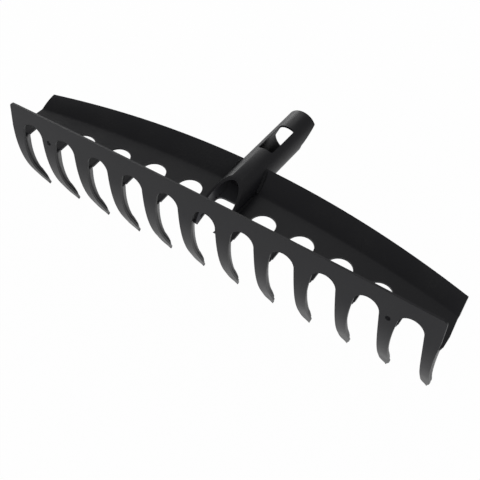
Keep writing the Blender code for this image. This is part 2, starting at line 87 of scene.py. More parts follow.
class RAKE_PG_combs(bpy.types.PropertyGroup):
    """The front comb, and what the rear comb shares with it: the tines' spacing, outline and bend."""

    tines: IntProperty(name="Tines", description="Number of tines", default=12, min=4)
    pitch: length("Pitch", "Spacing of the tines", 31.5)
    sheet: length("Sheet", "Thickness of the pressed sheet", 1.8)
    seam: length("Seam", "Air between the two combs", 0.3)
    height: length("Height", "Height from the tips to the top edge without its crown", 94)
    crown: length("Crown", "How much higher the band's top edge is in the middle", 2.3)
    band_flat: length("Band Flat", "Flat height above the tines' bend", 23.6)
    bend_radius: length("Bend Radius", "Radius of the tines' backward bend", 94)
    bend_angle: turn("Bend Angle", "Angle that the tines turn back through", 30.3)
    waist_half: length("Waist Half Width", "Half the tine's width at its waist", 3.95)
    waist_drop: length("Waist Drop", "Depth of the tine's waist", 84)
    root_curve: share("Root Curve", "How fast the root draws in to the waist", 3.5)
    tip_half: length("Tip Half Width", "Half the tine's width at its tip", 0.4)
    tip_shoulder: share("Tip Shoulder", "How late the tine starts to taper", 2.3)
    tip_curve: share("Tip Curve", "How finely the taper runs out", 2.4)
    end_share: share("End Share", "Outer half of an end tine, as a share of an inner half", 0.75)
    gap_radius: length("Gap Radius", "Radius of the gaps between front tines", 9.4)
    gap_drop: length("Gap Drop", "Depth of the gaps' centres", 20.8)
    corner_radius: length("Corner Radius", "Radius of the band's top corners", 3.0)
    hole_radius: length("Hole Radius", "Radius of the hanging holes at the front", 2.0)
    hole_back_radius: length("Hole Back Radius", "Radius of the hanging holes at the back", 0.9)
    hole_drop: length("Hole Drop", "Depth of the two hanging holes", 20.4)
    edge: length("Edge", "Rounding of the sheet's edges", 0.2)

    def tine_x(self, tine):
        return (tine - (self.tines - 1) / 2) * self.pitch

    def half_span(self):
        """Half the comb's width in whole pitches."""
        return self.tines / 2 * self.pitch

    def rear_depth(self):
        """From the front comb's front face back to the rear comb's."""
        return self.sheet + self.seam

    def is_end_side(self, tine, side):
        return (tine == 0 and side < 0) or (tine == self.tines - 1 and side > 0)

    def root_half(self):
        return self.pitch / 2 - self.gap_radius

    def profile(self, drop):
        """Front comb's front face: (y, z, lean back) at a length down the sheet from its top edge."""
        lean = min(max(drop - self.band_flat, 0) / self.bend_radius, self.bend_angle)
        straight = max(drop - self.band_flat - self.bend_radius * self.bend_angle, 0)
        y = self.bend_radius * (1 - math.cos(lean)) + straight * math.sin(lean)
        z = -min(drop, self.band_flat) - self.bend_radius * math.sin(lean) - straight * math.cos(lean)
        return y, z, lean

    def tip_drop(self):
        bend_height = self.bend_radius * math.sin(self.bend_angle)
        straight = (self.height - self.band_flat - bend_height) / math.cos(self.bend_angle)
        return self.band_flat + self.bend_radius * self.bend_angle + straight

    def half_width(self, drop):
        """Half a tine's width: from a broad root it draws in to a waist, and then runs out to a fine tip."""
        if drop < self.waist_drop:
            rise = (self.waist_drop - drop) / (self.waist_drop - self.gap_drop)
            return self.waist_half + (self.root_half() - self.waist_half) * rise ** self.root_curve
        fall = min((drop - self.waist_drop) / (self.tip_drop() - self.waist_drop), 1)
        left = (1 - fall ** self.tip_shoulder) ** self.tip_curve
        return self.tip_half + (self.waist_half - self.tip_half) * left

    def side_width(self, drop, tine, side):
        width = self.half_width(drop)
        return width * self.end_share if self.is_end_side(tine, side) else width

    def tine_drops(self, start, end, steps):
        """Levels along a tine, closer together towards its tip."""
        return [start + (end - start) * math.sin(math.pi / 2 * step / steps) for step in range(steps + 1)]


class RAKE_PG_rear(bpy.types.PropertyGroup):
    """The rear comb: channel tines, web with its gaps, and flared flange."""

    web_bend_drop: length("Web Bend Drop", "Depth at which the rear tines turn into the web", 30.4)
    web_bend_radius: length("Web Bend Radius", "Radius of that bend", 3.6)
    fold_radius: length("Fold Radius", "Radius of the channels' folds", 1.5)
    fold_turn: turn("Fold Turn", "Greatest angle that a channel's side is folded through", 114)
    ear_relief: length("Ear Relief", "How far below the bend the channels' sides start", 0.9)
    ear_run: length("Ear Run", "Length over which the channels' sides open", 2.5)
    channel_depth: length("Channel Depth", "Depth of a channel at its top", 9.6)
    channel_curve: share("Channel Curve", "How fast a channel grows shallower at first", 1.45)
    channel_ear: length("Channel Ear", "Least straight side of a channel", 0.4)
    fold_drop: length("Fold Drop", "Depth at which the channels have run out", 99)
    tip_setback: length("Tip Setback", "How far the rear tips stop short of the front ones", 0.05)
    inset: length("Inset", "How much narrower a rear tine is than a front one, on each side", 1.2)
    thin_drop: length("Thin Drop", "Depth at which the rear sheet has thinned for its channels", 40)
    thin_share: share("Thin Share", "Thickness of the channels, as a share of the sheet", 0.55)
    tip_share: share("Tip Share", "Thickness of the rear tips, as a share of the sheet", 0.12)
    web_rise: turn("Web Rise", "Slope of the web", 8.3)
    web_middle: length("Web Middle", "Length of the web in the middle", 41.9)
    web_end: length("Web End", "Length of the web at the ends", 23.1)
    web_end_draw: length("Web End Draw", "How far the web's ends are drawn in at the crease", 1.9)
    gap_radius: length("Gap Radius", "Radius of the web's gaps", 9.6)
    gap_middle: length("Gap Middle", "Reach of the gaps in the middle", 21.4)
    gap_end: length("Gap End", "Reach of the gaps at the ends", 4.6)
    stem_gap_corners: share("Stem Gap Corners", "Squareness of the gap in front of the tube", 4.5)
    stem_gap_reach: length("Stem Gap Reach", "Where that gap's corners begin", 18.4)
    stem_gap_depth: length("Stem Gap Depth", "Depth of that gap beyond its corners", 8.8)
    end_overhang: length("End Overhang", "Web beyond the middle of the end tines", 5.8)
    crease_radius: length("Crease Radius", "Radius of the crease at the flange's foot", 3.8)
    lean_middle: turn("Lean Middle", "Slope of the flange in the middle", 38)
    lean_end: turn("Lean End", "Slope of the flange at the ends", 25)
    flare: turn("Flare", "How much flatter the flange is at its top", 22)
    width_middle: length("Width Middle", "Width of the flange in the middle", 17.9)
    width_end: length("Width End", "Width of the flange at the ends", 13.4)
    end_draw: length("End Draw", "How far the flange's ends are drawn in beyond the crease", 0.7)


class RAKE_PG_tube(bpy.types.PropertyGroup):
    """The socket tube, its window and its two welds to each side."""

    radius: length("Radius", "Outer radius at the front", 12.15)
    end_radius: length("End Radius", "Outer radius at the free end", 12.35)
    wall: length("Wall", "Thickness of the tube's wall", 1.7)
    reach: length("Reach", "Distance of the free end from the front face", 129.2)
    axis_drop: length("Axis Drop", "Depth of the axis at the front face", 18.95)
    rise: turn("Rise", "Slope of the tube", 3.15)
    bow_reach: length("Bow Reach", "Where the slanted front reaches the tube's top", 40.0)
    bow_rise: turn("Bow Rise", "Slope of the tube's front", 29.3)
    relief_reach: length("Relief Reach", "Where the cut in the underside starts", 108.7)
    relief_drop: length("Relief Drop", "How far below the axis it starts", 1.5)
    relief_rise: length("Relief Rise", "How far above the axis it ends", 5.2)
    window_start: length("Window Start", "Start of the latch window", 76.0)
    window_end: length("Window End", "End of the latch window", 107.1)
    window_width: length("Window Width", "Width of the latch window", 12.0)
    window_corner: length("Window Corner", "Radius of the window's corners", 1.8)
    edge: length("Edge", "Rounding of the tube's edges", 0.3)
    bead: length("Bead", "Radius of a weld bead", 2.3)
    ripple: length("Ripple", "Spacing of the beads' ripples", 1.3)
    web_bead_start: length("Web Bead Start", "Where the web beads start", 9)
    web_bead_end: length("Web Bead End", "Where the web beads end", 42)
    flange_bead_margin: length("Flange Bead Margin", "How far the flange beads stop short of its edge", 3.0)

    def axis_height(self, y):
        return y * math.tan(self.rise) - self.axis_drop


class RAKE_PG_coat(bpy.types.PropertyGroup):
    """Colours and finish of the coat, and the floor's colour."""

    black: colour("Black", "The coat where it is clean", (0.0115, 0.0115, 0.0138))
    dust: colour("Dust", "The coat where it has dulled", (0.018, 0.018, 0.0195))
    # Painted light: this paler colour stands in for light falling into the tube's mouth
    mouth: colour("Mouth", "The thin coat in the tube's mouth", (0.08, 0.08, 0.088))
    # Painted shade: the welds are coloured darker than the coat, standing in for shade in the joints beside
    # the tube
    shaded_weld_black: colour("Weld Black", "The coat over the welds", (0.009, 0.009, 0.0105))
    satin: share("Satin", "Mean roughness of the coat", 0.42)
    gleam: share("Gleam", "Strength of the coat's reflection, 0.5 for plain paint", 0.24)
    peel: length("Peel", "Height of the coat's fine dimples", 0.012)
    floor: colour("Floor", "Colour of the floor", (0.93, 0.93, 0.93))


def drawing_zero():
    """Where the drawing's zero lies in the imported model."""
    low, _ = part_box("front_comb")
    return Vector((0, low[1], low[2] + bpy.context.scene.rake_combs.height))


# Trees of nodes


class Field:
    """A number that varies over a piece. Arithmetic on it adds Math nodes to its tree."""

    def __init__(self, shop, output):
        self.shop = shop
        self.output = output

    def __add__(self, other):
        return self.shop.math("ADD", self, other)

    def __sub__(self, other):
        return self.shop.math("SUBTRACT", self, other)

    def __rsub__(self, other):
        return self.shop.math("SUBTRACT", other, self)

    def __mul__(self, other):
        return self.shop.math("MULTIPLY", self, other)

    def __truediv__(self, other):
        return self.shop.math("DIVIDE", self, other)

    def __gt__(self, other):
        return self.shop.math("GREATER_THAN", self, other)

    def __abs__(self):
        return self.shop.math("ABSOLUTE", self)

    __radd__ = __add__
    __rmul__ = __mul__


class NodeShop:
    """Builds a tree of nodes, for a material or for geometry."""

    def __init__(self, tree):
        self.tree = tree

    def node(self, kind, settings=None, sockets=None):
        """Adds a node, applies its settings first, and then fills its sockets with values or links."""
        made = self.tree.nodes.new(kind)
        for name, value in (settings or {}).items():
            setattr(made, name, value)
        for name, value in (sockets or {}).items():
            self.fill(made, name, value)
        return made

    def pick(self, sockets, name):
        """A socket by its number, or by its name among those in use."""
        if isinstance(name, int):
            return sockets[name]
        return next(entry for entry in sockets if entry.name == name and entry.enabled)

    def fill(self, node, name, value):
        socket = self.pick(node.inputs, name)
        if isinstance(value, Field):
            self.tree.links.new(value.output, socket)
        else:
            socket.default_value = value

    def field(self, kind, settings=None, sockets=None, output=0):
        return self.out(self.node(kind, settings, sockets), output)

    def out(self, node, output=0):
        return Field(self, self.pick(node.outputs, output))

    def math(self, operation, first, second=0.0):
        return self.field("ShaderNodeMath", {"operation": operation}, {0: first, 1: second})

    def axes(self, vector):
        parts = self.node("ShaderNodeSeparateXYZ", None, {0: vector})
        return [self.out(parts, name) for name in ("X", "Y", "Z")]

    def vector(self, x, y, z):
        return self.field("ShaderNodeCombineXYZ", None, {"X": x, "Y": y, "Z": z})


class ShapeShop(NodeShop):
    """A Geometry Nodes tree with named inputs, which ends in real, coated geometry."""

    KINDS = {float: "NodeSocketFloat", int: "NodeSocketInt", bpy.types.Material: "NodeSocketMaterial"}

    def __init__(self, name, inputs):
        super().__init__(bpy.data.node_groups.new(name, "GeometryNodeTree"))
        self.values = inputs
        interface = self.tree.interface
        interface.new_socket(name="Geometry", in_out="OUTPUT", socket_type="NodeSocketGeometry")
        interface.new_socket(name="Geometry", in_out="INPUT", socket_type="NodeSocketGeometry")
        self.identifiers = {}
        for label, value in inputs.items():
            socket = interface.new_socket(name=label, in_out="INPUT", socket_type=self.KINDS[type(value)])
            self.identifiers[label] = socket.identifier
        self.entry = self.node("NodeGroupInput")

    def input(self, label):
        return self.out(self.entry, label)

    def position(self):
        """Each point's place in the geometry that reads it: (x, y, z)."""
        return self.axes(self.field("GeometryNodeInputPosition"))

    def end(self, geometry):
        real = self.field("GeometryNodeRealizeInstances", None, {"Geometry": geometry})
        sockets = {"Geometry": real, "Material": self.input("Coat")}
        coated = self.field("GeometryNodeSetMaterial", None, sockets)
        self.node("NodeGroupOutput", None, {"Geometry": coated})

    def apply(self, thing):
        """The tree's result on an object, as a plain mesh."""
        modifier = thing.modifiers.new(self.tree.name, "NODES")
        modifier.node_group = self.tree
        for label, identifier in self.identifiers.items():
            modifier[identifier] = self.values[label]
        return plain_mesh(thing)


def show(thing):
    """Puts an object in the scene, where it isn't yet."""
    if thing.name not in bpy.context.scene.collection.objects:
        bpy.context.scene.collection.objects.link(thing)
    return thing


def plain_mesh(thing):
    """Bakes an object's modifiers, and leaves it with none."""
    show(thing)
    bpy.context.view_layer.update()
    evaluated = thing.evaluated_get(bpy.context.evaluated_depsgraph_get())
    mesh = bpy.data.meshes.new_from_object(evaluated)
    mesh.name = thing.name
    thing.modifiers.clear()
    thing.data = mesh
    return thing


# Materials


# Scales of the coats' patterns
CLOUDS = 38.0
GRAIN = 900.0
DIMPLES = 1400.0
SWELLS = 160.0
WELD_GRAIN = 700.0
SPATTER = 420.0

# Stretches of a pattern's values over which something sets in
MOST = (0.3, 0.7)
DUSTY_CLOUDS = (0.42, 0.68)
DUSTY_GRAIN = (0.35, 0.65)
DUSTY_WELD = (0.4, 0.7)
SPATTER_BEAD = (0.0, 0.45)

# What the patterns take from the roughness, and what they add to it
CLOUD_GLOSS = (-0.03, 0.05)
GRAIN_GLOSS = (-0.02, 0.02)
WELD_GLOSS = (-0.04, 0.08)

# The coat's relief, and how the welds' coat differs: rougher, duller and coarser
SWELL_HEIGHT = 1.5
COAT_BUMP = 0.6
WELD_BUMP = 0.7
WELD_ROUGHER = 0.2
WELD_DULLER = 2
WELD_COARSER = 8

# Painted light in the tube's mouth, a paler coat colour that stands in for light falling inside it: where it
# has faded, as a share of the slanted front's reach, and how deep in the wall it is whole and gone, as shares
# of the wall
MOUTH_FADE = 1.6
MOUTH_WHOLE = 0.98
MOUTH_GONE = 0.9


class CoatShop(NodeShop):
    """A coat's material under construction, with its pattern on Object coordinates."""

    def __init__(self, name):
        self.material = bpy.data.materials.new(name)
        self.material.use_nodes = True
        super().__init__(self.material.node_tree)
        self.shader = self.tree.nodes["Principled BSDF"]
        self.place = self.field("ShaderNodeTexCoord", output="Object")

    def noise(self, scale, detail=2.0, roughness=0.5):
        sockets = {"Vector": self.place, "Scale": scale, "Detail": detail, "Roughness": roughness}
        return self.field("ShaderNodeTexNoise", None, sockets)

    def ramp(self, value, low, high, start=0.0, end=1.0):
        """Carries a value from the range low..high to start..end, and holds it there."""
        sockets = {"Value": value, "From Min": low, "From Max": high, "To Min": start, "To Max": end}
        return self.field("ShaderNodeMapRange", None, sockets)

    def blend(self, mask, first, second):
        """Mixes two colours, each of them plain or varying."""
        first, second = (entry if isinstance(entry, Field) else (*entry, 1) for entry in (first, second))
        sockets = {"Factor": mask, "A": first, "B": second}
        return self.field("ShaderNodeMix", {"data_type": "RGBA"}, sockets, output="Result")

    def shade(self, name, value):
        self.fill(self.shader, name, value)

    def relief(self, height, distance, strength):
        """Bends the shading after a pattern of heights."""
        sockets = {"Strength": strength, "Distance": distance, "Height": height}
        self.shade("Normal", self.field("ShaderNodeBump", None, sockets))


def mouth_light_mask(shop):
    """Marks where light is painted into the tube's mouth, by its distance from the tube's axis."""
    combs = bpy.context.scene.rake_combs
    tube = bpy.context.scene.rake_tube
    zero = drawing_zero()
    x, y, z = shop.axes(shop.place)
    back = y - zero.y
    up = (z - zero.z - back * math.tan(tube.rise) + tube.axis_drop) * math.cos(tube.rise)
    away = shop.math("SQRT", x * x + up * up)
    near = shop.ramp(back, tube.bow_reach, MOUTH_FADE * tube.bow_reach, 1.0, 0.0)
    behind_front_comb = back > combs.sheet + combs.seam / 2
    whole, gone = (tube.radius - depth * tube.wall for depth in (MOUTH_WHOLE, MOUTH_GONE))
    return near * behind_front_comb * shop.ramp(away, whole, gone, 1.0, 0.0)


def satin_coat(name, coat):
    """Baked black powder coat: fine dimples, slow cloudy changes of gloss, a little dust, and painted light
    in the tube's mouth.
    """
    shop = CoatShop(name)
    cloud = shop.noise(CLOUDS, detail=3.0)
    grain = shop.noise(GRAIN)
    dusty = shop.ramp(cloud, *DUSTY_CLOUDS) * shop.ramp(grain, *DUSTY_GRAIN)
    outside = shop.blend(dusty, coat.black, coat.dust)
    # Painted light: the tube's mouth is given a paler colour, standing in for light falling inside it
    shop.shade("Base Color", shop.blend(mouth_light_mask(shop), outside, coat.mouth))
    shop.shade("Specular IOR Level", coat.gleam)
    cloudy = shop.ramp(cloud, *MOST, *CLOUD_GLOSS)
    grainy = shop.ramp(grain, *MOST, *GRAIN_GLOSS)
    shop.shade("Roughness", coat.satin + cloudy + grainy)
    dimples = shop.noise(DIMPLES, detail=1.0)
    swells = shop.noise(SWELLS, detail=1.0)
    shop.relief(dimples + swells * SWELL_HEIGHT, coat.peel, COAT_BUMP)
    return shop.material


def weld_coat(name, coat):
    """The same coat over weld metal: rougher, with beads of spatter, and a darker colour as painted shade in
    the joints.
    """
    shop = CoatShop(name)
    grain = shop.noise(WELD_GRAIN, detail=3.0, roughness=0.6)
    cells = {"Vector": shop.place, "Scale": SPATTER}
    from_drop = shop.field("ShaderNodeTexVoronoi", None, cells, output="Distance")
    spatter = shop.ramp(from_drop, *SPATTER_BEAD, 1.0, 0.0)
    # The darker weld colour is painted shade in the joints between tube and comb
    shop.shade("Base Color", shop.blend(shop.ramp(grain, *DUSTY_WELD), coat.shaded_weld_black, coat.dust))
    shop.shade("Specular IOR Level", coat.gleam / WELD_DULLER)
    shop.shade("Roughness", coat.satin + WELD_ROUGHER + shop.ramp(grain, *MOST, *WELD_GLOSS))
    shop.relief(grain + spatter, WELD_COARSER * coat.peel, WELD_BUMP)
    return shop.material


# Meshes


MERGE_DISTANCE = 0.002 * MM
SHARP_TURN = 32  # in degrees
EDGE_SEGMENTS = 3


def object_of(name, mesh):
    """An object from a bmesh, which is then freed."""
    data = bpy.data.meshes.new(name)
    mesh.to_mesh(data)
    mesh.free()
    return bpy.data.objects.new(name, data)


def skin(mesh, upper, lower):
    """Quads between two rows of points, facing the front or the top."""
    for left in range(len(upper) - 1):
        mesh.faces.new((upper[left], lower[left], lower[left + 1], upper[left + 1]))


def thicken(thing, thickness, share_at=None):
    """Gives a drawn face its sheet's thickness, of which each height can keep a share."""
    solidify = thing.modifiers.new("Sheet", "SOLIDIFY")
    solidify.thickness = thickness
    solidify.offset = -1.0
    solidify.use_even_offset = True
    if share_at:
        group = thing.vertex_groups.new(name="Thickness")
        for vertex in thing.data.vertices:
            group.add([vertex.index], share_at(vertex.co.z), "REPLACE")
        solidify.vertex_group = group.name


def round_edges(thing, radius, lowest):
    """Rounds the sharp edges above a height, and keeps flat faces flat in the shading."""
    merged = bmesh.new()
    merged.from_mesh(thing.data)
    bmesh.ops.remove_doubles(merged, verts=merged.verts, dist=MERGE_DISTANCE)
    weights = merged.edges.layers.float.new("bevel_weight_edge")
    for edge in merged.edges:
        high = all((thing.matrix_basis @ corner.co).z > lowest for corner in edge.verts)
        if high and len(edge.link_faces) == 2 and edge.calc_face_angle() > math.radians(SHARP_TURN):
            edge[weights] = 1.0
    merged.to_mesh(thing.data)
    merged.free()
    thing.data.shade_smooth()
    bevel = thing.modifiers.new("Edges", "BEVEL")
    bevel.width = radius
    bevel.segments = EDGE_SEGMENTS
    bevel.limit_method = "WEIGHT"
    bevel.miter_outer = "MITER_ARC"
    bevel.harden_normals = True
    plain_mesh(thing)


def place_piece(thing, material, node):
    """Moves a finished mesh to the model's place, coats it and joins it to the head."""
    thing.data.transform(Matrix.Translation(drawing_zero()) @ thing.matrix_basis)
    thing.matrix_basis = Matrix.Identity(4)
    thing.data.materials.clear()
    thing.data.materials.append(material)
    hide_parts(node)
    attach(thing, BODY)


# Cutters


# How far a cutter reaches out from the tube, and on along it, in tube radii
REACH_OUT = 3
REACH_ALONG = 4


def extruded(name, outline, shift):
    """A closed cutter from an outline of points, carried along a shift."""
    mesh = bmesh.new()
    face = mesh.faces.new([mesh.verts.new(point) for point in outline])
    grown = bmesh.ops.extrude_face_region(mesh, geom=[face])["geom"]
    moved = [item for item in grown if isinstance(item, bmesh.types.BMVert)]
    bmesh.ops.translate(mesh, verts=moved, vec=shift)
    bmesh.ops.recalc_face_normals(mesh, faces=mesh.faces)
    return show(object_of(name, mesh))


def cone(name, start_radius, end_radius, height, steps):
    """A round cutter from its object's origin along its own Z."""
    mesh = bmesh.new()
    bmesh.ops.create_cone(
        mesh,
        cap_ends=True,
        segments=steps,
        radius1=start_radius,
        radius2=end_radius,
        depth=height,
        matrix=Matrix.Translation((0, 0, height / 2)),
    )
    return show(object_of(name, mesh))


def prism(name, outline):
    """A cutter across the tube, from its outline in (y, z)."""
    half_width = REACH_OUT * bpy.context.scene.rake_tube.radius
    return extruded(name, [(-half_width, y, z) for y, z in outline], (2 * half_width, 0, 0))


def on_axis(thing):
    """Lays an object's own Z along the tube's axis, from the front face back."""
    tube = bpy.context.scene.rake_tube
    thing.rotation_euler = (tube.rise - math.pi / 2, 0, 0)
    thing.location = (0, 0, tube.axis_height(0))
    return thing


def cut_away(thing, cutters):
    """Takes each cutter's form out of an object in turn, and removes the cutters."""
    for cutter in cutters:
        boolean = thing.modifiers.new(cutter.name, "BOOLEAN")
        boolean.operation = "DIFFERENCE"
        boolean.solver = "EXACT"
        boolean.object = cutter
    plain_mesh(thing)
    for cutter in cutters:
        bpy.data.objects.remove(cutter, do_unlink=True)


# Front comb


FRONT_GAP_STEPS = 18
FRONT_TINE_STEPS = 40
CORNER_STEPS = 16
HOLE_STEPS = 48
CELL_MERGE = 0.02 * MM

# A hanging hole's cutter, in thicknesses of the sheet: its length, and where it starts behind the front face
HOLE_CUTTER_LENGTH = 1.1
HOLE_CUTTER_START = 1.05


def front_cell():
    """One pitch of the front comb, flat: a band with half a gap to each side, and a tine below."""
    combs = bpy.context.scene.rake_combs
    mesh = bmesh.new()
    low = []
    for step in range(FRONT_GAP_STEPS + 1):
        angle = math.pi / 2 * (1 + step / FRONT_GAP_STEPS)
        x = -combs.pitch / 2 - combs.gap_radius * math.cos(angle)
        low.append((x, combs.gap_radius * math.sin(angle)))
    low += [(-x, rise) for x, rise in reversed(low)]
    low_row = [mesh.verts.new((x, 0, rise - combs.gap_drop)) for x, rise in low]
    skin(mesh, [mesh.verts.new((x, 0, 0)) for x, _ in low], low_row)
    upper = low_row[FRONT_GAP_STEPS:FRONT_GAP_STEPS + 2]
    for drop in combs.tine_drops(combs.gap_drop, combs.tip_drop(), FRONT_TINE_STEPS)[1:]:
        half = combs.half_width(drop)
        lower = [mesh.verts.new((side * half, 0, -drop)) for side in SIDES]
        skin(mesh, upper, lower)
        upper = lower
    return object_of("front_comb_sheet", mesh)


def comb_tree(coat):
    """Repeats a flat cell along the comb, trims the ends, and presses the tines back."""
    combs = bpy.context.scene.rake_combs
    shop = ShapeShop(
        "pressed_comb",
        {
            "Tines": combs.tines,
            "Pitch": combs.pitch,
            "Root Half Width": combs.root_half(),
            "Gap Drop": combs.gap_drop,
            "End Share": combs.end_share,
            "Crown": combs.crown,
            "Band Flat": combs.band_flat,
            "Bend Radius": combs.bend_radius,
            "Bend Angle": combs.bend_angle,
            "Coat": coat,
        },
    )
    pitch = shop.input("Pitch")
    outer = (shop.input("Tines") - 1) / 2 * pitch
    places = {
        "Count": shop.input("Tines"),
        "Start Location": shop.vector(0 - outer, 0.0, 0.0),
        "Offset": shop.vector(pitch, 0.0, 0.0),
    }
    line = shop.field("GeometryNodeMeshLine", {"mode": "OFFSET"}, places)
    cells = {"Points": line, "Instance": shop.input("Geometry")}
    row = shop.field("GeometryNodeInstanceOnPoints", None, cells)
    row = shop.field("GeometryNodeRealizeInstances", None, {"Geometry": row})
    row = shop.field("GeometryNodeMergeByDistance", None, {"Geometry": row, "Distance": CELL_MERGE})
    x, _, _ = shop.position()
    beyond = abs(x) > outer + shop.input("Root Half Width")
    row = shop.field("GeometryNodeDeleteGeometry", {"domain": "FACE"}, {"Geometry": row, "Selection": beyond})
    x, y, z = shop.position()
    over = shop.math("MAXIMUM", abs(x) - outer, 0.0)
    narrow = x - shop.math("SIGN", x) * over * (1 - shop.input("End Share"))
    half = shop.input("Tines") / 2 * pitch
    # The cells' top row is all that lies higher than a quarter of the gaps' drop
    in_top_row = z > shop.input("Gap Drop") / -4
    raised = z + in_top_row * shop.input("Crown") * (1 - narrow * narrow / (half * half))
    trimmed = shop.vector(narrow, y, raised)
    row = shop.field("GeometryNodeSetPosition", None, {"Geometry": row, "Position": trimmed})
    x, _, z = shop.position()
    radius = shop.input("Bend Radius")
    below = shop.math("MAXIMUM", 0 - z - shop.input("Band Flat"), 0.0)
    lean = shop.math("MINIMUM", below / radius, shop.input("Bend Angle"))
    straight = below - lean * radius
    sine, cosine = shop.math("SINE", lean), shop.math("COSINE", lean)
    pressed = shop.vector(
        x,
        radius * (1 - cosine) + straight * sine,
        z + below - radius * sine - straight * cosine,
    )
    shop.end(shop.field("GeometryNodeSetPosition", None, {"Geometry": row, "Position": pressed}))
    return shop


def corner_cutter(side):
    """What a rounded top corner of the band leaves free."""
    combs = bpy.context.scene.rake_combs
    end = combs.tine_x(combs.tines - 1) + combs.root_half() * combs.end_share
    radius = combs.corner_radius
    away = combs.pitch
    top = combs.crown * (1 - ((end - radius) / combs.half_span()) ** 2)
    outline = [(end + away, top + away), (end - radius, top + away)]
    for step in range(CORNER_STEPS + 1):
        angle = math.pi / 2 * step / CORNER_STEPS
        outline.append((end - radius * (1 - math.sin(angle)), top - radius * (1 - math.cos(angle))))
    outline.append((end + away, top - radius))
    return extruded("corner_cutter", [(side * x, -away / 2, z) for x, z in outline], (0, away, 0))


def hole_cutter(tine):
    """A hanging hole over a tine: a pit that narrows towards the sheet's back."""
    combs = bpy.context.scene.rake_combs
    height = HOLE_CUTTER_LENGTH * combs.sheet
    hole = cone("hole_cutter", combs.hole_back_radius, combs.hole_radius, height, HOLE_STEPS)
    hole.rotation_euler = (math.pi / 2, 0, 0)
    hole.location = (combs.tine_x(tine), HOLE_CUTTER_START * combs.sheet, -combs.hole_drop)
    return hole


class RAKE_OT_front_comb(bpy.types.Operator):
    """Build the front comb, a flat band with tines that bend back"""

    bl_idname = "rake.front_comb"
    bl_label = "Front Comb"

    def execute(self, context):
        combs = context.scene.rake_combs
        material = satin_coat("front_comb_coat", context.scene.rake_coat)
        comb = comb_tree(material).apply(front_cell())
        thicken(comb, combs.sheet)
        holes = [hole_cutter(tine) for tine in (1, combs.tines - 2)]
        cut_away(comb, [*holes, *(corner_cutter(side) for side in SIDES)])
        _, fine_tips, _ = combs.profile(combs.waist_drop + 2 * combs.waist_half)
        round_edges(comb, combs.edge, fine_tips)
        place_piece(comb, material, "front_comb")
        return {"FINISHED"}


# Rear comb


NOTCH_STEPS = 96


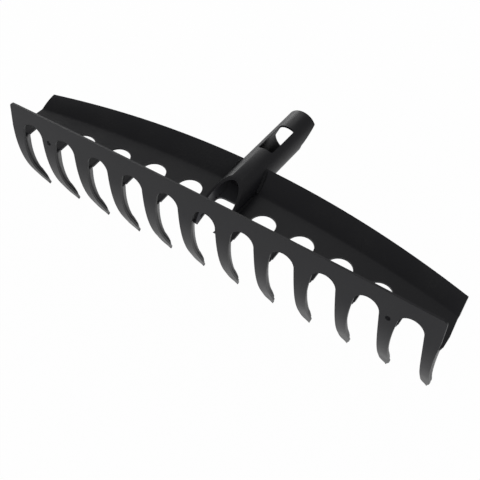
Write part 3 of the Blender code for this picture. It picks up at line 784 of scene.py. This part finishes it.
class RearSheet:
    """Draws the rear comb's top and front face."""

    GAP_STEPS = 36
    TINE_STEPS = 36
    FOLD_STEPS = 5
    BEND_STEPS = 10
    CREASE_STEPS = 6
    FLANGE_STEPS = 8

    # A channel's side is never quite flat
    LEAST_TURN = math.radians(1)

    # Limits near the tips, as shares of the tine's half width, and for fold and ear of the channel's
    INSET_LIMIT = 0.4
    FOLD_LIMIT = 0.6
    EAR_FLOOR = 0.25
    EAR_LIMIT = 1.8

    def __init__(self):
        self.combs = bpy.context.scene.rake_combs
        self.rear = bpy.context.scene.rake_rear

    def bow(self, across, middle, end):
        """A value that changes from the middle of the comb to its ends as a parabola does."""
        return middle + (end - middle) * (across / self.combs.half_span()) ** 2

    def bend_point(self, portion):
        """Bend from web to tine: (y, z, outward y, outward z) at a portion of it, 0 at the web."""
        y, z, lean = self.combs.profile(self.rear.web_bend_drop)
        depth = self.combs.rear_depth()
        radius = self.rear.web_bend_radius
        centre_y = y + (depth + radius) * math.cos(lean)
        centre_z = z + (depth + radius) * math.sin(lean)
        facing = (math.pi / 2 + self.rear.web_rise) * (1 - portion) + (math.pi + lean) * portion
        out_y, out_z = math.cos(facing), math.sin(facing)
        return centre_y + radius * out_y, centre_z + radius * out_z, out_y, out_z

    def web_point(self, reach):
        """A point of the web's top face, by its distance back from the bend."""
        y, z, _, _ = self.bend_point(0)
        return y + reach * math.cos(self.rear.web_rise), z + reach * math.sin(self.rear.web_rise)

    def web_height(self, y):
        """Height of the web's top face."""
        start_y, start_z = self.web_point(0)
        return start_z + (y - start_y) * math.tan(self.rear.web_rise)

    def arc(self, y, z, start, end, distance, portion):
        """Moves along an arc in the YZ plane whose slope goes from start to end over its length."""
        radius = distance / (end - start)
        angle = start + (end - start) * portion
        return (
            y + radius * (math.sin(angle) - math.sin(start)),
            z - radius * (math.cos(angle) - math.cos(start)),
        )

    def flange_column(self, x):
        """From the crease up to the flange's top edge: (x, y, z) points, bottom first."""
        rear = self.rear
        lean = self.bow(x, rear.lean_middle, rear.lean_end)
        foot_slope, top_slope = lean + rear.flare / 2, lean - rear.flare / 2
        crease = rear.crease_radius * (foot_slope - rear.web_rise)
        width = self.bow(x, rear.width_middle, rear.width_end)
        y, z = self.web_point(self.bow(x, rear.web_middle, rear.web_end))
        half = self.combs.half_span()
        drawn_x = x * (1 - rear.web_end_draw / half)
        column = [(drawn_x, y, z)]
        for step in range(1, self.CREASE_STEPS + 1):
            portion = step / self.CREASE_STEPS
            column.append((drawn_x, *self.arc(y, z, rear.web_rise, foot_slope, crease, portion)))
        y, z = column[-1][1:]
        for step in range(1, self.FLANGE_STEPS + 1):
            portion = step / self.FLANGE_STEPS
            drawn_x = x * (1 - (rear.web_end_draw + rear.end_draw * portion) / half)
            column.append((drawn_x, *self.arc(y, z, foot_slope, top_slope, width, portion)))
        return column

    def fold(self, base, arc, angle, ear):
        """Half a channel's section, outwards from the edge of its base: (across, depth) points."""
        points = []
        for step in range(self.FOLD_STEPS + 1):
            portion = step / self.FOLD_STEPS
            if angle == 0:
                points.append((base + arc * portion, 0))
            else:
                radius, turned = arc / angle, angle * portion
                points.append((base + radius * math.sin(turned), radius * (1 - math.cos(turned))))
        if ear > 0:
            across, depth = points[-1]
            points.append((across + ear * math.cos(angle), depth + ear * math.sin(angle)))
        return points

    def channel(self, drop, tine, side):
        """A channel's fold at one level: its base, its arc, the angle it turns and its straight ear."""
        rear = self.rear
        left = max(rear.fold_drop - drop, 0) / (rear.fold_drop - rear.web_bend_drop)
        full = self.combs.side_width(drop, tine, side)
        end_side = self.combs.is_end_side(tine, side)
        width = full - (0 if end_side else min(rear.inset, self.INSET_LIMIT * full))
        greatest = math.pi / 2 if end_side else rear.fold_turn
        depth = rear.channel_depth * left ** rear.channel_curve
        radius = min(rear.fold_radius, self.FOLD_LIMIT * width)
        by_depth = math.acos(max(1 - depth / radius, -1))
        angle = max(min(by_depth, greatest), self.LEAST_TURN)
        folded = radius * (1 - math.cos(angle))
        opened = min((drop - rear.web_bend_drop) / rear.ear_run, 1)
        least_ear = min(rear.channel_ear, self.EAR_FLOOR * width)
        ear = max((depth - folded) / math.sin(angle) * opened, least_ear)
        ear = min(ear, self.EAR_LIMIT * width)
        widest = radius * math.sin(min(angle, math.pi / 2)) + ear * max(math.cos(angle), 0)
        return width - widest, radius * angle, angle, ear

    def finger(self, tine, side):
        """The same sizes on the flat web finger above a tine."""
        rear = self.rear
        end_side = self.combs.is_end_side(tine, side)
        root = rear.end_overhang if end_side else self.combs.pitch / 2 - rear.gap_radius
        arc = rear.fold_radius * math.pi / 2
        return root - arc, arc, 0, 0

    def section(self, tine, y, z, out_y, out_z, folds):
        """One row across a tine, from its left edge to its right."""
        row = []
        for side in SIDES:
            points = [
                (self.combs.tine_x(tine) + side * across, y - depth * out_y, z - depth * out_z)
                for across, depth in self.fold(*folds[side])
            ]
            row.extend(points[::side])
        return row

    def hang_tine(self, mesh, tine, foot):
        """Hangs a channel tine on the row of points that ends the web above it."""
        rear = self.rear
        upper = foot
        for step in range(self.BEND_STEPS + 1):
            portion = step / self.BEND_STEPS
            folds = {}
            for side in SIDES:
                flat = self.finger(tine, side)
                earless = (*self.channel(rear.web_bend_drop, tine, side)[:3], 0)
                folds[side] = [start + (end - start) * portion for start, end in zip(flat, earless)]
            lower = [mesh.verts.new(point) for point in self.section(tine, *self.bend_point(portion), folds)]
            skin(mesh, upper, lower)
            upper = lower
        lowest = self.combs.tip_drop() - rear.tip_setback
        drops = self.combs.tine_drops(rear.web_bend_drop, lowest, self.TINE_STEPS)
        drops[0] += rear.ear_relief
        for level, drop in enumerate(drop for drop in drops if drop >= drops[0]):
            y, z, lean = self.combs.profile(drop)
            out_y, out_z = -math.cos(lean), -math.sin(lean)
            y -= self.combs.rear_depth() * out_y
            z -= self.combs.rear_depth() * out_z
            folds = {side: self.channel(drop, tine, side) for side in SIDES}
            lower = [mesh.verts.new(point) for point in self.section(tine, y, z, out_y, out_z, folds)]
            # The ears start below the bend, so the first row's ends join nothing above
            skin(mesh, upper, lower if level else lower[1:-1])
            upper = lower

    def thickness_share(self, z):
        """The sheet is drawn thinner in the channels, and thinner still towards the tips."""
        rear = self.rear
        drops = (rear.web_bend_drop, rear.thin_drop, self.combs.tip_drop())
        levels = [self.combs.profile(drop)[1] for drop in drops]
        shares = (1, rear.thin_share, rear.tip_share)
        for high, low, upper, lower in zip(levels, levels[1:], shares, shares[1:]):
            if z > low:
                return lower + (upper - lower) * min((z - low) / (high - low), 1)
        return rear.tip_share

    def gap_edge(self, tine, angle):
        """Edge of the web's gap to the right of a tine: (x, reach back from the bend)."""
        rear = self.rear
        middle = self.combs.tine_x(tine) + self.combs.pitch / 2
        if tine + 1 == self.combs.tines / 2:
            power = 2 / rear.stem_gap_corners
            across = -math.copysign(abs(math.cos(angle)) ** power, math.cos(angle))
            deep = rear.stem_gap_depth * math.sin(angle) ** power
            return middle + rear.gap_radius * across, rear.stem_gap_reach + deep
        reach = self.bow(middle, rear.gap_middle, rear.gap_end)
        return middle - rear.gap_radius * math.cos(angle), reach + rear.gap_radius * math.sin(angle)

    def finger_reach(self, tine, side):
        """How far back from the bend a finger's side begins to belong to the web."""
        neighbour = tine - 1 if side < 0 else tine
        neighbour = min(max(neighbour, 0), self.combs.tines - 2)
        return self.gap_edge(neighbour, 0)[1]

    def face(self):
        """The whole face: rows from the web's front edge up to the flange's top, and the tines."""
        mesh = bmesh.new()
        web_edge, feet = [], []
        for tine in range(self.combs.tines):
            foot = []
            folds = {side: self.finger(tine, side) for side in SIDES}
            left, right = (self.finger_reach(tine, side) for side in SIDES)
            flat = self.section(tine, 0, 0, 0, 1, folds)
            for x, _, _ in flat:
                portion = (x - flat[0][0]) / (flat[-1][0] - flat[0][0])
                foot.append(mesh.verts.new((x, *self.web_point(left + (right - left) * portion))))
            web_edge.extend(foot)
            feet.append(foot)
            if tine < self.combs.tines - 1:
                for step in range(1, self.GAP_STEPS):
                    x, reach = self.gap_edge(tine, math.pi * step / self.GAP_STEPS)
                    web_edge.append(mesh.verts.new((x, *self.web_point(reach))))
        lower = web_edge
        for row in zip(*(self.flange_column(corner.co.x) for corner in web_edge)):
            upper = [mesh.verts.new(point) for point in row]
            skin(mesh, upper, lower)
            lower = upper
        for tine, foot in enumerate(feet):
            self.hang_tine(mesh, tine, foot)
        return object_of("rear_comb_sheet", mesh)


def below_web(name, margin=0.0):
    """All that lies under the web's top face, back to the web's end, grown by a margin."""
    combs = bpy.context.scene.rake_combs
    rear = bpy.context.scene.rake_rear
    sheet = RearSheet()
    end_y, _ = sheet.web_point(rear.web_middle)
    back, front, deep = end_y + margin, -combs.pitch, -combs.height
    outline = [
        (front, sheet.web_height(front) + margin),
        (back, sheet.web_height(back) + margin),
        (back, deep),
        (front, deep),
    ]
    return prism(name, outline)


def notch_cutter():
    """What the tube takes out of the flange and the crease, but not out of the web."""
    tube = bpy.context.scene.rake_tube
    start, end = (radius - tube.wall / 2 for radius in (tube.radius, tube.end_radius))
    notch = on_axis(cone("notch", start, end, tube.reach, NOTCH_STEPS))
    cut_away(notch, [below_web("notch_keeper")])
    return notch


class RAKE_OT_rear_comb(bpy.types.Operator):
    """Build the rear comb, one sheet of channel tines, web and flared flange"""

    bl_idname = "rake.rear_comb"
    bl_label = "Rear Comb"

    def execute(self, context):
        combs = context.scene.rake_combs
        material = satin_coat("rear_comb_coat", context.scene.rake_coat)
        sheet = RearSheet()
        comb = sheet.face()
        thicken(comb, combs.sheet, sheet.thickness_share)
        cut_away(comb, [notch_cutter()])
        _, bend_height, _, _ = sheet.bend_point(1)
        round_edges(comb, combs.edge, bend_height)
        place_piece(comb, material, "rear_comb")
        return {"FINISHED"}


# Socket tube


TUBE_STEPS = 120
WINDOW_CORNER_STEPS = 8
WEB_SEAT_OVERLAP = 0.1 * MM


def bow_cutter():
    """Takes off the tube's front along a slope that rises towards the back."""
    tube = bpy.context.scene.rake_tube
    top = tube.axis_height(tube.bow_reach) + tube.radius
    run = REACH_ALONG * tube.radius
    rise = run * math.tan(tube.bow_rise)
    outline = [
        (-run, top - (run + tube.bow_reach) * math.tan(tube.bow_rise)),
        (tube.bow_reach + run, top + rise),
        (-run, top + rise),
    ]
    return prism("bow_cutter", outline)


def front_seat_cutter():
    """Ends the tube's legs against the front comb's back."""
    combs = bpy.context.scene.rake_combs
    back = combs.rear_depth()
    outline = [(-combs.pitch, 0), (back, 0), (back, -combs.height), (-combs.pitch, -combs.height)]
    return prism("front_seat_cutter", outline)


def relief_cutter():
    """Opens the underside towards the free end: a square shoulder, then a slope up to the end."""
    tube = bpy.context.scene.rake_tube
    shoulder = tube.axis_height(tube.relief_reach) - tube.relief_drop
    end = tube.axis_height(tube.reach) + tube.relief_rise
    slope = (end - shoulder) / (tube.reach - tube.relief_reach)
    back = tube.reach + tube.radius
    deep = shoulder - REACH_OUT * tube.radius
    outline = [
        (tube.relief_reach, shoulder),
        (back, shoulder + slope * (back - tube.relief_reach)),
        (back, deep),
        (tube.relief_reach, deep),
    ]
    return prism("relief_cutter", outline)


def window_cutter():
    """The latch window in the tube's top, with rounded corners."""
    tube = bpy.context.scene.rake_tube
    half_x = tube.window_width / 2 - tube.window_corner
    half_y = (tube.window_end - tube.window_start) / 2 - tube.window_corner
    outline = []
    for quarter, (side_x, side_y) in enumerate(((1, 1), (-1, 1), (-1, -1), (1, -1))):
        for step in range(WINDOW_CORNER_STEPS + 1):
            angle = math.pi / 2 * (quarter + step / WINDOW_CORNER_STEPS)
            x = side_x * half_x + tube.window_corner * math.cos(angle)
            outline.append((x, side_y * half_y + tube.window_corner * math.sin(angle), 0))
    window = extruded("window_cutter", outline, (0, 0, 2 * tube.radius))
    middle = (tube.window_start + tube.window_end) / 2
    window.location = (0, middle, tube.axis_height(middle))
    window.rotation_euler = (tube.rise, 0, 0)
    return window


def turned_tube():
    """The whole tube before its cuts, as a closed wall round its axis."""
    tube = bpy.context.scene.rake_tube
    long = tube.reach / math.cos(tube.rise)
    corners = [
        (tube.end_radius, long),
        (tube.radius, 0),
        (tube.radius - tube.wall, 0),
        (tube.end_radius - tube.wall, long),
    ]
    mesh = bmesh.new()
    rings = []
    for step in range(TUBE_STEPS):
        angle = 2 * math.pi * step / TUBE_STEPS
        across, up = math.cos(angle), math.sin(angle)
        rings.append([mesh.verts.new((radius * across, radius * up, z)) for radius, z in corners])
    for ring, following in zip(rings, rings[1:] + rings[:1]):
        for corner in range(len(corners)):
            after = (corner + 1) % len(corners)
            mesh.faces.new((ring[corner], ring[after], following[after], following[corner]))
    bmesh.ops.recalc_face_normals(mesh, faces=mesh.faces)
    return on_axis(object_of("socket_tube", mesh))


class RAKE_OT_socket_tube(bpy.types.Operator):
    """Build the socket tube with its slanted front, latch window and relieved underside"""

    bl_idname = "rake.socket_tube"
    bl_label = "Socket Tube"

    def execute(self, context):
        tube = context.scene.rake_tube
        material = satin_coat("socket_tube_coat", context.scene.rake_coat)
        piece = turned_tube()
        cutters = [
            bow_cutter(),
            below_web("web_seat_cutter", -WEB_SEAT_OVERLAP),
            front_seat_cutter(),
            relief_cutter(),
            window_cutter(),
        ]
        cut_away(piece, cutters)
        above_feet = tube.axis_height(0) - tube.radius / 3
        round_edges(piece, tube.edge, above_feet)
        place_piece(piece, material, "stem_tube")
        return {"FINISHED"}


# Welds


WEB_BEAD_STEPS = 24
FLANGE_BEAD_STEPS = 16

# The drops that a bead is melted from, and their sizes as shares of its radius
DROP_SUBDIVISIONS = 4
DROP_LEAST = 0.72
DROP_GREATEST = 0.88

# The melt: its voxels, and the density at which its surface lies
BEAD_FINENESS = 0.22 * MM
MELTED_EDGE = 0.1


def half_chord(y, z):
    """Half the tube's outer width at a point of the YZ plane."""
    tube = bpy.context.scene.rake_tube
    radius = tube.radius + (tube.end_radius - tube.radius) * y / tube.reach
    off_axis = (z - tube.axis_height(y)) * math.cos(tube.rise)
    return math.sqrt(radius ** 2 - off_axis ** 2)


def web_bead_path():
    """Where tube and web meet, as (y, z) points."""
    tube = bpy.context.scene.rake_tube
    sheet = RearSheet()
    run = tube.web_bead_end - tube.web_bead_start
    levels = [tube.web_bead_start + run * step / WEB_BEAD_STEPS for step in range(WEB_BEAD_STEPS + 1)]
    return [(y, sheet.web_height(y)) for y in levels]


def flange_bead_path():
    """Where tube and flange meet, as (y, z) points from the flange's foot up."""
    rear = bpy.context.scene.rake_rear
    tube = bpy.context.scene.rake_tube
    sheet = RearSheet()
    _, foot_y, foot_z = sheet.flange_column(0)[sheet.CREASE_STEPS]
    slope = rear.lean_middle + rear.flare / 2
    path = []
    for step in range(FLANGE_BEAD_STEPS + 1):
        portion = step / FLANGE_BEAD_STEPS * (1 - tube.flange_bead_margin / rear.width_middle)
        path.append(sheet.arc(foot_y, foot_z, slope, slope - rear.flare, rear.width_middle, portion))
    return path


def bead_line(name, path, side):
    """A bead's line along the tube's outside, for the Geometry Nodes tree."""
    mesh = bmesh.new()
    points = [mesh.verts.new((side * half_chord(y, z), y, z)) for y, z in path]
    for start, end in zip(points, points[1:]):
        mesh.edges.new((start, end))
    return object_of(name, mesh)


def bead_tree(coat, seed):
    """Lays overlapping drops along a line and melts them into one rippled bead."""
    tube = bpy.context.scene.rake_tube
    shop = ShapeShop(
        "rippled_bead",
        {
            "Bead Radius": tube.bead,
            "Ripple Spacing": tube.ripple,
            "Fineness": BEAD_FINENESS,
            "Seed": seed,
            "Coat": coat,
        },
    )
    line = shop.field("GeometryNodeMeshToCurve", None, {"Mesh": shop.input("Geometry")})
    spacing = {"Curve": line, "Length": shop.input("Ripple Spacing")}
    line = shop.field("GeometryNodeResampleCurve", {"mode": "LENGTH"}, spacing)
    ball = {"Radius": shop.input("Bead Radius"), "Subdivisions": DROP_SUBDIVISIONS}
    drop = shop.field("GeometryNodeMeshIcoSphere", None, ball)
    limits = {"Min": DROP_LEAST, "Max": DROP_GREATEST, "Seed": shop.input("Seed")}
    size = shop.field("FunctionNodeRandomValue", {"data_type": "FLOAT"}, limits, output="Value")
    laid = {"Points": line, "Instance": drop, "Scale": size}
    drops = shop.field("GeometryNodeInstanceOnPoints", None, laid)
    drops = shop.field("GeometryNodeRealizeInstances", None, {"Geometry": drops})
    by_voxel = {"resolution_mode": "VOXEL_SIZE"}
    voxel = {"Voxel Size": shop.input("Fineness")}
    melted = shop.field("GeometryNodeMeshToVolume", by_voxel, {"Mesh": drops, **voxel})
    surface = {"Volume": melted, **voxel, "Threshold": MELTED_EDGE}
    bead = shop.field("GeometryNodeVolumeToMesh", by_voxel, surface)
    shop.end(shop.field("GeometryNodeSetShadeSmooth", None, {"Geometry": bead}))
    return shop


class RAKE_OT_welds(bpy.types.Operator):
    """Build the rippled weld beads between the tube and the rear comb"""

    bl_idname = "rake.welds"
    bl_label = "Welds"

    def execute(self, context):
        material = weld_coat("weld_bead_coat", context.scene.rake_coat)
        beads = []
        for side, word in zip(SIDES, ("left", "right")):
            beads.append((f"web_weld_{word}", web_bead_path(), side))
            beads.append((f"flange_weld_{word}", flange_bead_path(), side))
        for seed, (node, path, side) in enumerate(beads):
            piece = bead_tree(material, seed).apply(bead_line(f"{node}_bead", path, side))
            place_piece(piece, material, node)
        return {"FINISHED"}


# Studio


# The photograph's viewpoint: metres, degrees and millimetres
CAMERA_PLACE = (0.24220436, -0.42595198, 0.48161685)
CAMERA_TURN = (45.79342, -3.61675, 33.92038)
CAMERA_LENS = 65.25
CAMERA_SENSOR = 36.0

FLOOR_HALF_WIDTH = 6.0
FLOOR_GRAIN = 60.0
FLOOR_ROUGHNESS = 0.85
FLOOR_UNEVEN = 0.1
FLOOR_GLOW = 0.98
ROOM_LIGHT = 0.36
WHITE = (1, 1, 1, 1)


def floor_material(tone):
    """Matt white that stays white where the camera and reflections see it, with a trace of shadow."""
    material = bpy.data.materials.new("studio_floor")
    material.use_nodes = True
    shop = NodeShop(material.node_tree)
    shader = shop.tree.nodes["Principled BSDF"]
    grain = shop.field("ShaderNodeTexNoise", None, {"Scale": FLOOR_GRAIN})
    shop.fill(shader, "Base Color", (*tone, 1))
    shop.fill(shader, "Roughness", FLOOR_ROUGHNESS + grain * FLOOR_UNEVEN)
    rays = shop.node("ShaderNodeLightPath")
    seen = shop.math("MAXIMUM", shop.out(rays, "Is Camera Ray"), shop.out(rays, "Is Glossy Ray"))
    glow = shop.field("ShaderNodeEmission", None, {"Color": WHITE, "Strength": 1.0})
    mixed = shop.field("ShaderNodeMixShader", None, {0: seen * FLOOR_GLOW, 1: shop.out(shader), 2: glow})
    shop.fill(shop.tree.nodes["Material Output"], "Surface", mixed)
    return material


def studio_floor(tone):
    """A broad plain floor, which isn't part of the head."""
    mesh = bmesh.new()
    bmesh.ops.create_grid(mesh, x_segments=1, y_segments=1, size=FLOOR_HALF_WIDTH)
    floor = show(object_of("studio_floor", mesh))
    floor.data.materials.append(floor_material(tone))


def softbox(name, direction, distance, size, radiance):
    """A square lamp that faces the head, with the brightness of its face given."""
    lamp = bpy.data.lights.new(name, "AREA")
    lamp.shape = "SQUARE"
    lamp.size = size
    lamp.energy = radiance * math.pi * size ** 2
    place = bpy.data.objects.new(name, lamp)
    place.location = Vector(direction).normalized() * distance
    place.rotation_euler = Vector(direction).to_track_quat("Z", "Y").to_euler()
    show(place)


def studio_light(scene):
    """Three soft lamps in a pale room."""
    softbox("side_box", direction=(-0.72, 0.62, 0.36), distance=1.3, size=0.55, radiance=4.0)
    softbox("top_box", direction=(-0.3, 0.62, 0.66), distance=1.5, size=0.6, radiance=1.8)
    softbox("front_box", direction=(0.45, -0.85, 0.3), distance=1.6, size=1.1, radiance=2.3)
    scene.world = bpy.data.worlds.new("studio")
    scene.world.use_nodes = True
    room = NodeShop(scene.world.node_tree)
    room.fill(room.tree.nodes["Background"], "Color", WHITE)
    room.fill(room.tree.nodes["Background"], "Strength", ROOM_LIGHT)
    scene.view_settings.view_transform = "Standard"


def photo_camera(scene):
    """The camera at the photograph's viewpoint."""
    lens = bpy.data.cameras.new("photo_camera")
    lens.lens = CAMERA_LENS
    lens.sensor_width = CAMERA_SENSOR
    lens.clip_start = 10 * MM
    scene.camera = show(bpy.data.objects.new("photo_camera", lens))
    scene.camera.location = CAMERA_PLACE
    scene.camera.rotation_euler = [math.radians(angle) for angle in CAMERA_TURN]


class RAKE_OT_stage(bpy.types.Operator):
    """Set the pale floor, the soft studio light and the camera"""

    bl_idname = "rake.stage"
    bl_label = "Stage"

    def execute(self, context):
        studio_floor(context.scene.rake_coat.floor)
        studio_light(context.scene)
        photo_camera(context.scene)
        return {"FINISHED"}


OPERATORS = (RAKE_OT_front_comb, RAKE_OT_rear_comb, RAKE_OT_socket_tube, RAKE_OT_welds, RAKE_OT_stage)
GROUPS = {
    "rake_combs": RAKE_PG_combs,
    "rake_rear": RAKE_PG_rear,
    "rake_tube": RAKE_PG_tube,
    "rake_coat": RAKE_PG_coat,
}


class RAKE_PT_panel(bpy.types.Panel):
    """Lists the head's pieces and their sizes"""

    bl_idname = "RAKE_PT_panel"
    bl_label = "Rake Head"
    bl_space_type = "VIEW_3D"
    bl_region_type = "UI"
    bl_category = "Rake"

    def draw(self, context):
        for operator in OPERATORS:
            self.layout.operator(operator.bl_idname)
        for name, group in GROUPS.items():
            box = self.layout.box()
            box.label(text=group.__name__.rsplit("_", 1)[-1].title())
            for entry in group.__annotations__:
                box.prop(getattr(context.scene, name), entry)


def register():
    for name, group in GROUPS.items():
        bpy.utils.register_class(group)
        setattr(bpy.types.Scene, name, PointerProperty(type=group))
    for operator in OPERATORS:
        bpy.utils.register_class(operator)
    bpy.utils.register_class(RAKE_PT_panel)


def unregister():
    bpy.utils.unregister_class(RAKE_PT_panel)
    for operator in reversed(OPERATORS):
        bpy.utils.unregister_class(operator)
    for name, group in GROUPS.items():
        delattr(bpy.types.Scene, name)
        bpy.utils.unregister_class(group)


def main():
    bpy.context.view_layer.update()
    register()
    bpy.ops.rake.front_comb()
    bpy.ops.rake.rear_comb()
    bpy.ops.rake.socket_tube()
    bpy.ops.rake.welds()
    bpy.ops.rake.stage()


if __name__ == "__main__":
    main()
